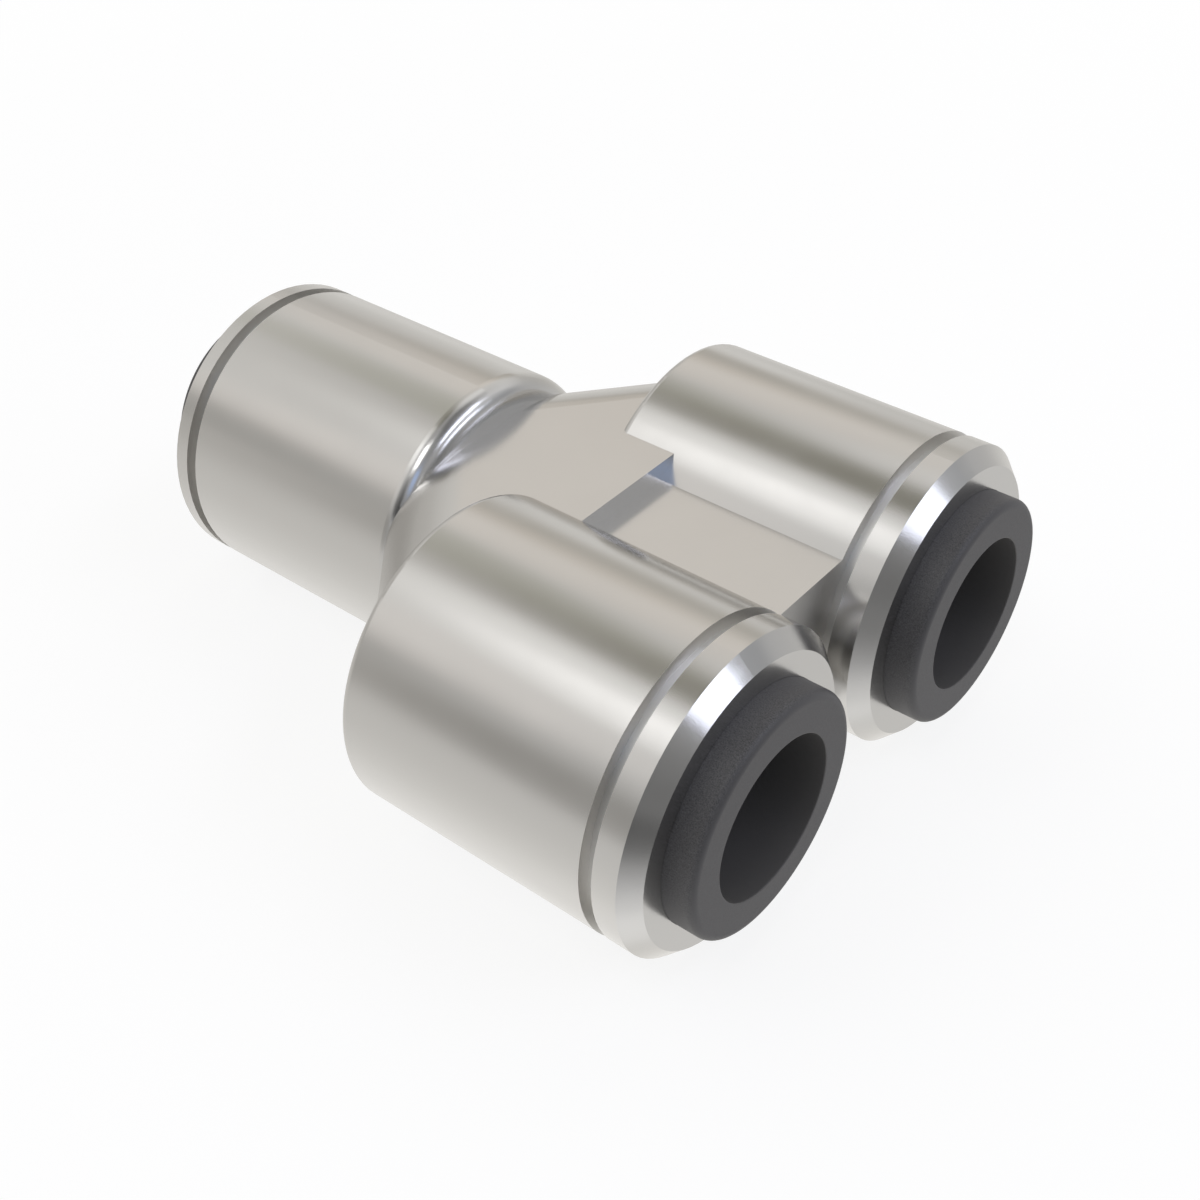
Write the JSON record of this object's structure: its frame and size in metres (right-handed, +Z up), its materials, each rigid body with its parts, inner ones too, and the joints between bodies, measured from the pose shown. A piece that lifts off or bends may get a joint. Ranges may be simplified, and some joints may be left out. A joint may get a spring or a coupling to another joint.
{
  "type": "push-in y tube connector",
  "caption": "Nickel-plated Y connector that joins one tube to two parallel tubes, with press-to-release rings at its mouths.",
  "frame": {"origin": "centre of the bounding box, on the inlet's axis, halfway between the inlet's end and the outlets' ends", "axes": "+X along the fitting from the inlet to the outlets, +Y towards the left outlet, +Z up"},
  "size_m": [0.0322, 0.026, 0.0122],
  "materials": {
    "nickel_plate": "satin nickel plate",
    "dark_acetal": "moulded, satin",
    "spring_steel": "bright rolled",
    "plain_brass": "turned",
    "seal_rubber": "moulded rubber"
  },
  "bodies": {
    "fitting": {"body": "nickel_plate", "inlet_collar": "nickel_plate", "inlet_grip_ring": "spring_steel", "inlet_support_ring": "plain_brass", "inlet_seal": "seal_rubber", "left_outlet_collar": "nickel_plate", "left_outlet_grip_ring": "spring_steel", "left_outlet_support_ring": "plain_brass", "left_outlet_seal": "seal_rubber", "right_outlet_collar": "nickel_plate", "right_outlet_grip_ring": "spring_steel", "right_outlet_support_ring": "plain_brass", "right_outlet_seal": "seal_rubber"},
    "inlet_release": {"inlet_release_ring": "dark_acetal"},
    "left_outlet_release": {"left_outlet_release_ring": "dark_acetal"},
    "right_outlet_release": {"right_outlet_release_ring": "dark_acetal"}
  },
  "joints": [
    {"name": "inlet_release_slide", "type": "slide", "parent": "fitting", "child": "inlet_release", "axis": [1, 0, 0], "range_m": [0, 0.001], "stiffness_N_per_m": 1500, "deforming": ["inlet_grip_ring"]},
    {"name": "left_outlet_release_slide", "type": "slide", "parent": "fitting", "child": "left_outlet_release", "axis": [-1, 0, 0], "range_m": [0, 0.001], "stiffness_N_per_m": 1500, "deforming": ["left_outlet_grip_ring"]},
    {"name": "right_outlet_release_slide", "type": "slide", "parent": "fitting", "child": "right_outlet_release", "axis": [-1, 0, 0], "range_m": [0, 0.001], "stiffness_N_per_m": 1500, "deforming": ["right_outlet_grip_ring"]}
  ]
}
